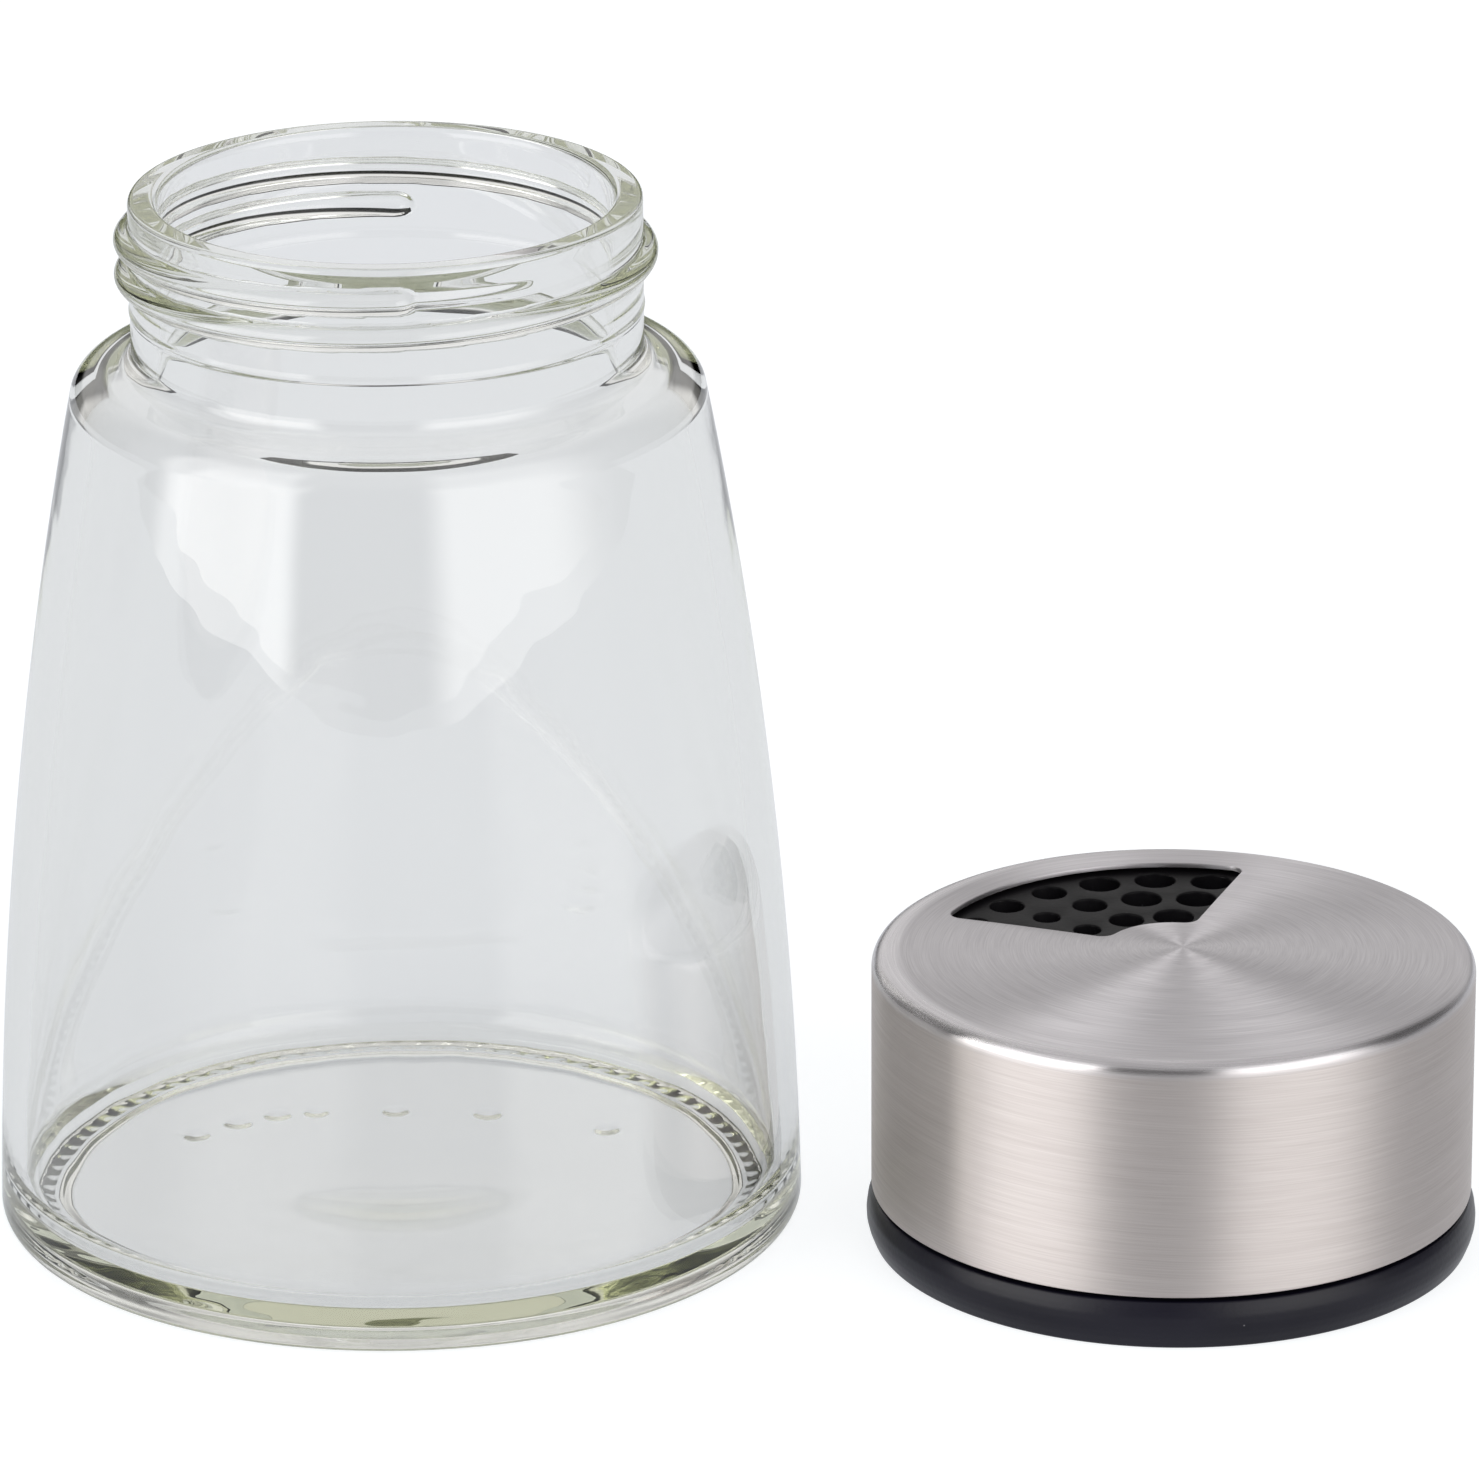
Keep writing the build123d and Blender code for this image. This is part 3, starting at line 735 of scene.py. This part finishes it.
def floor_material():
    """A plain white sweep, with light of its own: more for the camera, less for reflections and glass."""
    n = Nodes("floor_white")
    shader = n.add("ShaderNodeBsdfDiffuse")
    shader.inputs["Color"].default_value = (0.30, 0.305, 0.315, 1.0)
    glow = n.add("ShaderNodeEmission")
    rays = n.add("ShaderNodeLightPath")
    tint = n.add("ShaderNodeMix", data_type="RGBA")
    n.link(rays.outputs["Is Camera Ray"], tint.inputs["Factor"])
    tint.inputs["A"].default_value = (0.955, 0.985, 1.035, 1.0)
    tint.inputs["B"].default_value = (0.97, 0.985, 0.995, 1.0)
    n.link(tint.outputs["Result"], glow.inputs["Color"])
    n.link(n.range(rays.outputs["Is Camera Ray"], 0.0, 1.0, 0.56, 0.86), glow.inputs["Strength"])
    both = n.add("ShaderNodeAddShader")
    n.link(shader.outputs[0], both.inputs[0])
    n.link(glow.outputs[0], both.inputs[1])
    n.link(both.outputs[0], n.output.inputs["Surface"])
    n.material.cycles.emission_sampling = "NONE"
    return n.material


floor_mesh = bpy.data.meshes.new("floor")
near, far = -0.8, 0.9
floor_corners = [(x, y, -FLOOR_DROP) for x, y in ((near, near), (far, near), (far, far), (near, far))]
floor_mesh.from_pydata(floor_corners, [], [(0, 1, 2, 3)])
floor_mesh.materials.append(floor_material())
floor = bpy.data.objects.new("floor", floor_mesh)
bpy.context.scene.collection.objects.link(floor)


ROOM_LIGHT = 0.13
# All angles are in degrees. Azimuth 0 is behind the camera, and 180 is behind the object.
# Each softbox: left and right edge, the softness of both, bottom and top edge, and radiance.
SOFTBOXES = [
    (-84.0, -32.0, 10.0, 9.0, -6.0, 44.0, 2.85),
    (18.0, 74.0, 14.0, 36.0, -6.0, 44.0, 2.25),
]
SOFTBOX_BOTTOM_SOFT, SOFTBOX_TOP_SOFT = 4.0, 24.0
# The wall behind: the azimuth it starts at, its bottom and top edge, and radiance.
BACK_WALL = (138.0, 8.0, 52.0, 0.70)
BACK_WALL_SIDE_SOFT, BACK_WALL_BOTTOM_SOFT, BACK_WALL_TOP_SOFT = 40.0, 5.0, 30.0
# The overhead light: its lower edge, and radiance.
TOP_LIGHT = (52.0, 0.5)
TOP_LIGHT_SOFT = 24.0
# The dark gap low behind the object: the azimuth it starts at, its top edge, and the softness of each.
DARK_GAP = (156.0, 6.0, 8.0, 3.0)
SEEN_BACKGROUND = 0.97


def studio_world():
    """A dark studio: a softbox on each side, a wall behind, a light overhead and a dark gap low behind."""
    world = bpy.data.worlds.new("studio")
    world.use_nodes = True
    tree = world.node_tree
    tree.nodes.clear()

    def add(kind, **settings):
        node = tree.nodes.new(kind)
        for key, value in settings.items():
            setattr(node, key, value)
        return node

    def put(value, socket):
        if isinstance(value, (int, float)):
            socket.default_value = value
        else:
            tree.links.new(value, socket)

    def calc(operation, first, second=0.0):
        node = add("ShaderNodeMath", operation=operation)
        put(first, node.inputs[0])
        put(second, node.inputs[1])
        return node.outputs[0]

    def step(value, at, soft):
        """0 below the angle, 1 above it, with a soft edge."""
        node = add("ShaderNodeMapRange", interpolation_type="SMOOTHSTEP")
        put(value, node.inputs["Value"])
        node.inputs["From Min"].default_value = math.radians(at - soft / 2)
        node.inputs["From Max"].default_value = math.radians(at + soft / 2)
        return node.outputs["Result"]

    def between(value, low, high, low_soft, high_soft):
        return calc("SUBTRACT", step(value, low, low_soft), step(value, high, high_soft))

    way = add("ShaderNodeSeparateXYZ")
    tree.links.new(add("ShaderNodeTexCoord").outputs["Generated"], way.inputs[0])
    x, y, z = way.outputs
    azimuth = calc("ARCTAN2", x, calc("MULTIPLY", y, -1.0))
    elevation = calc("ARCSINE", z)
    level = ROOM_LIGHT
    for low, high, low_soft, high_soft, bottom, top, radiance in SOFTBOXES:
        patch = calc("MULTIPLY", between(azimuth, low, high, low_soft, high_soft),
                     between(elevation, bottom, top, SOFTBOX_BOTTOM_SOFT, SOFTBOX_TOP_SOFT))
        level = calc("ADD", level, calc("MULTIPLY", patch, radiance))
    behind, bottom, top, radiance = BACK_WALL
    patch = calc("MULTIPLY", step(calc("ABSOLUTE", azimuth), behind, BACK_WALL_SIDE_SOFT),
                 between(elevation, bottom, top, BACK_WALL_BOTTOM_SOFT, BACK_WALL_TOP_SOFT))
    level = calc("ADD", level, calc("MULTIPLY", patch, radiance))
    bottom, radiance = TOP_LIGHT
    level = calc("ADD", level, calc("MULTIPLY", step(elevation, bottom, TOP_LIGHT_SOFT), radiance))
    gap_start, gap_top, gap_side_soft, gap_top_soft = DARK_GAP
    gap = calc("MULTIPLY", step(calc("ABSOLUTE", azimuth), gap_start, gap_side_soft),
               calc("SUBTRACT", 1.0, step(elevation, gap_top, gap_top_soft)))
    level = calc("MULTIPLY", level, calc("SUBTRACT", 1.0, gap))
    rays = add("ShaderNodeLightPath")
    seen = add("ShaderNodeMix", data_type="FLOAT")
    put(rays.outputs["Is Camera Ray"], seen.inputs["Factor"])
    put(level, seen.inputs["A"])
    seen.inputs["B"].default_value = SEEN_BACKGROUND
    background = add("ShaderNodeBackground")
    background.inputs["Color"].default_value = (1.0, 0.99, 0.98, 1.0)
    put(seen.outputs["Result"], background.inputs["Strength"])
    tree.links.new(background.outputs[0], add("ShaderNodeOutputWorld").inputs["Surface"])
    return world


bpy.context.scene.world = studio_world()

camera_data = bpy.data.cameras.new("camera")
camera_data.sensor_width = 36.0
camera_data.lens = 240.6
camera_data.clip_start, camera_data.clip_end = 0.05, 20.0
camera = bpy.data.objects.new("camera", camera_data)
CAMERA_PITCH, CAMERA_ROLL, CAMERA_DISTANCE = math.radians(20.176), math.radians(-0.254), 0.77956
LOOK_AT = Vector((0.027205, 0.0, 0.03888))
view_line = Vector((0, math.cos(CAMERA_PITCH), -math.sin(CAMERA_PITCH)))
camera.location = LOOK_AT - view_line * CAMERA_DISTANCE
camera.rotation_mode = "QUATERNION"
camera.rotation_quaternion = (
    Euler((math.pi / 2 - CAMERA_PITCH, 0, 0)).to_quaternion() @ Euler((0, 0, CAMERA_ROLL)).to_quaternion()
)
bpy.context.scene.collection.objects.link(camera)
bpy.context.scene.camera = camera

scene = bpy.context.scene
scene.view_settings.view_transform = "Standard"
scene.cycles.max_bounces = 40
scene.cycles.transmission_bounces = 32
scene.cycles.glossy_bounces = 32
scene.cycles.transparent_max_bounces = 16
scene.cycles.caustics_refractive = True
scene.cycles.caustics_reflective = True
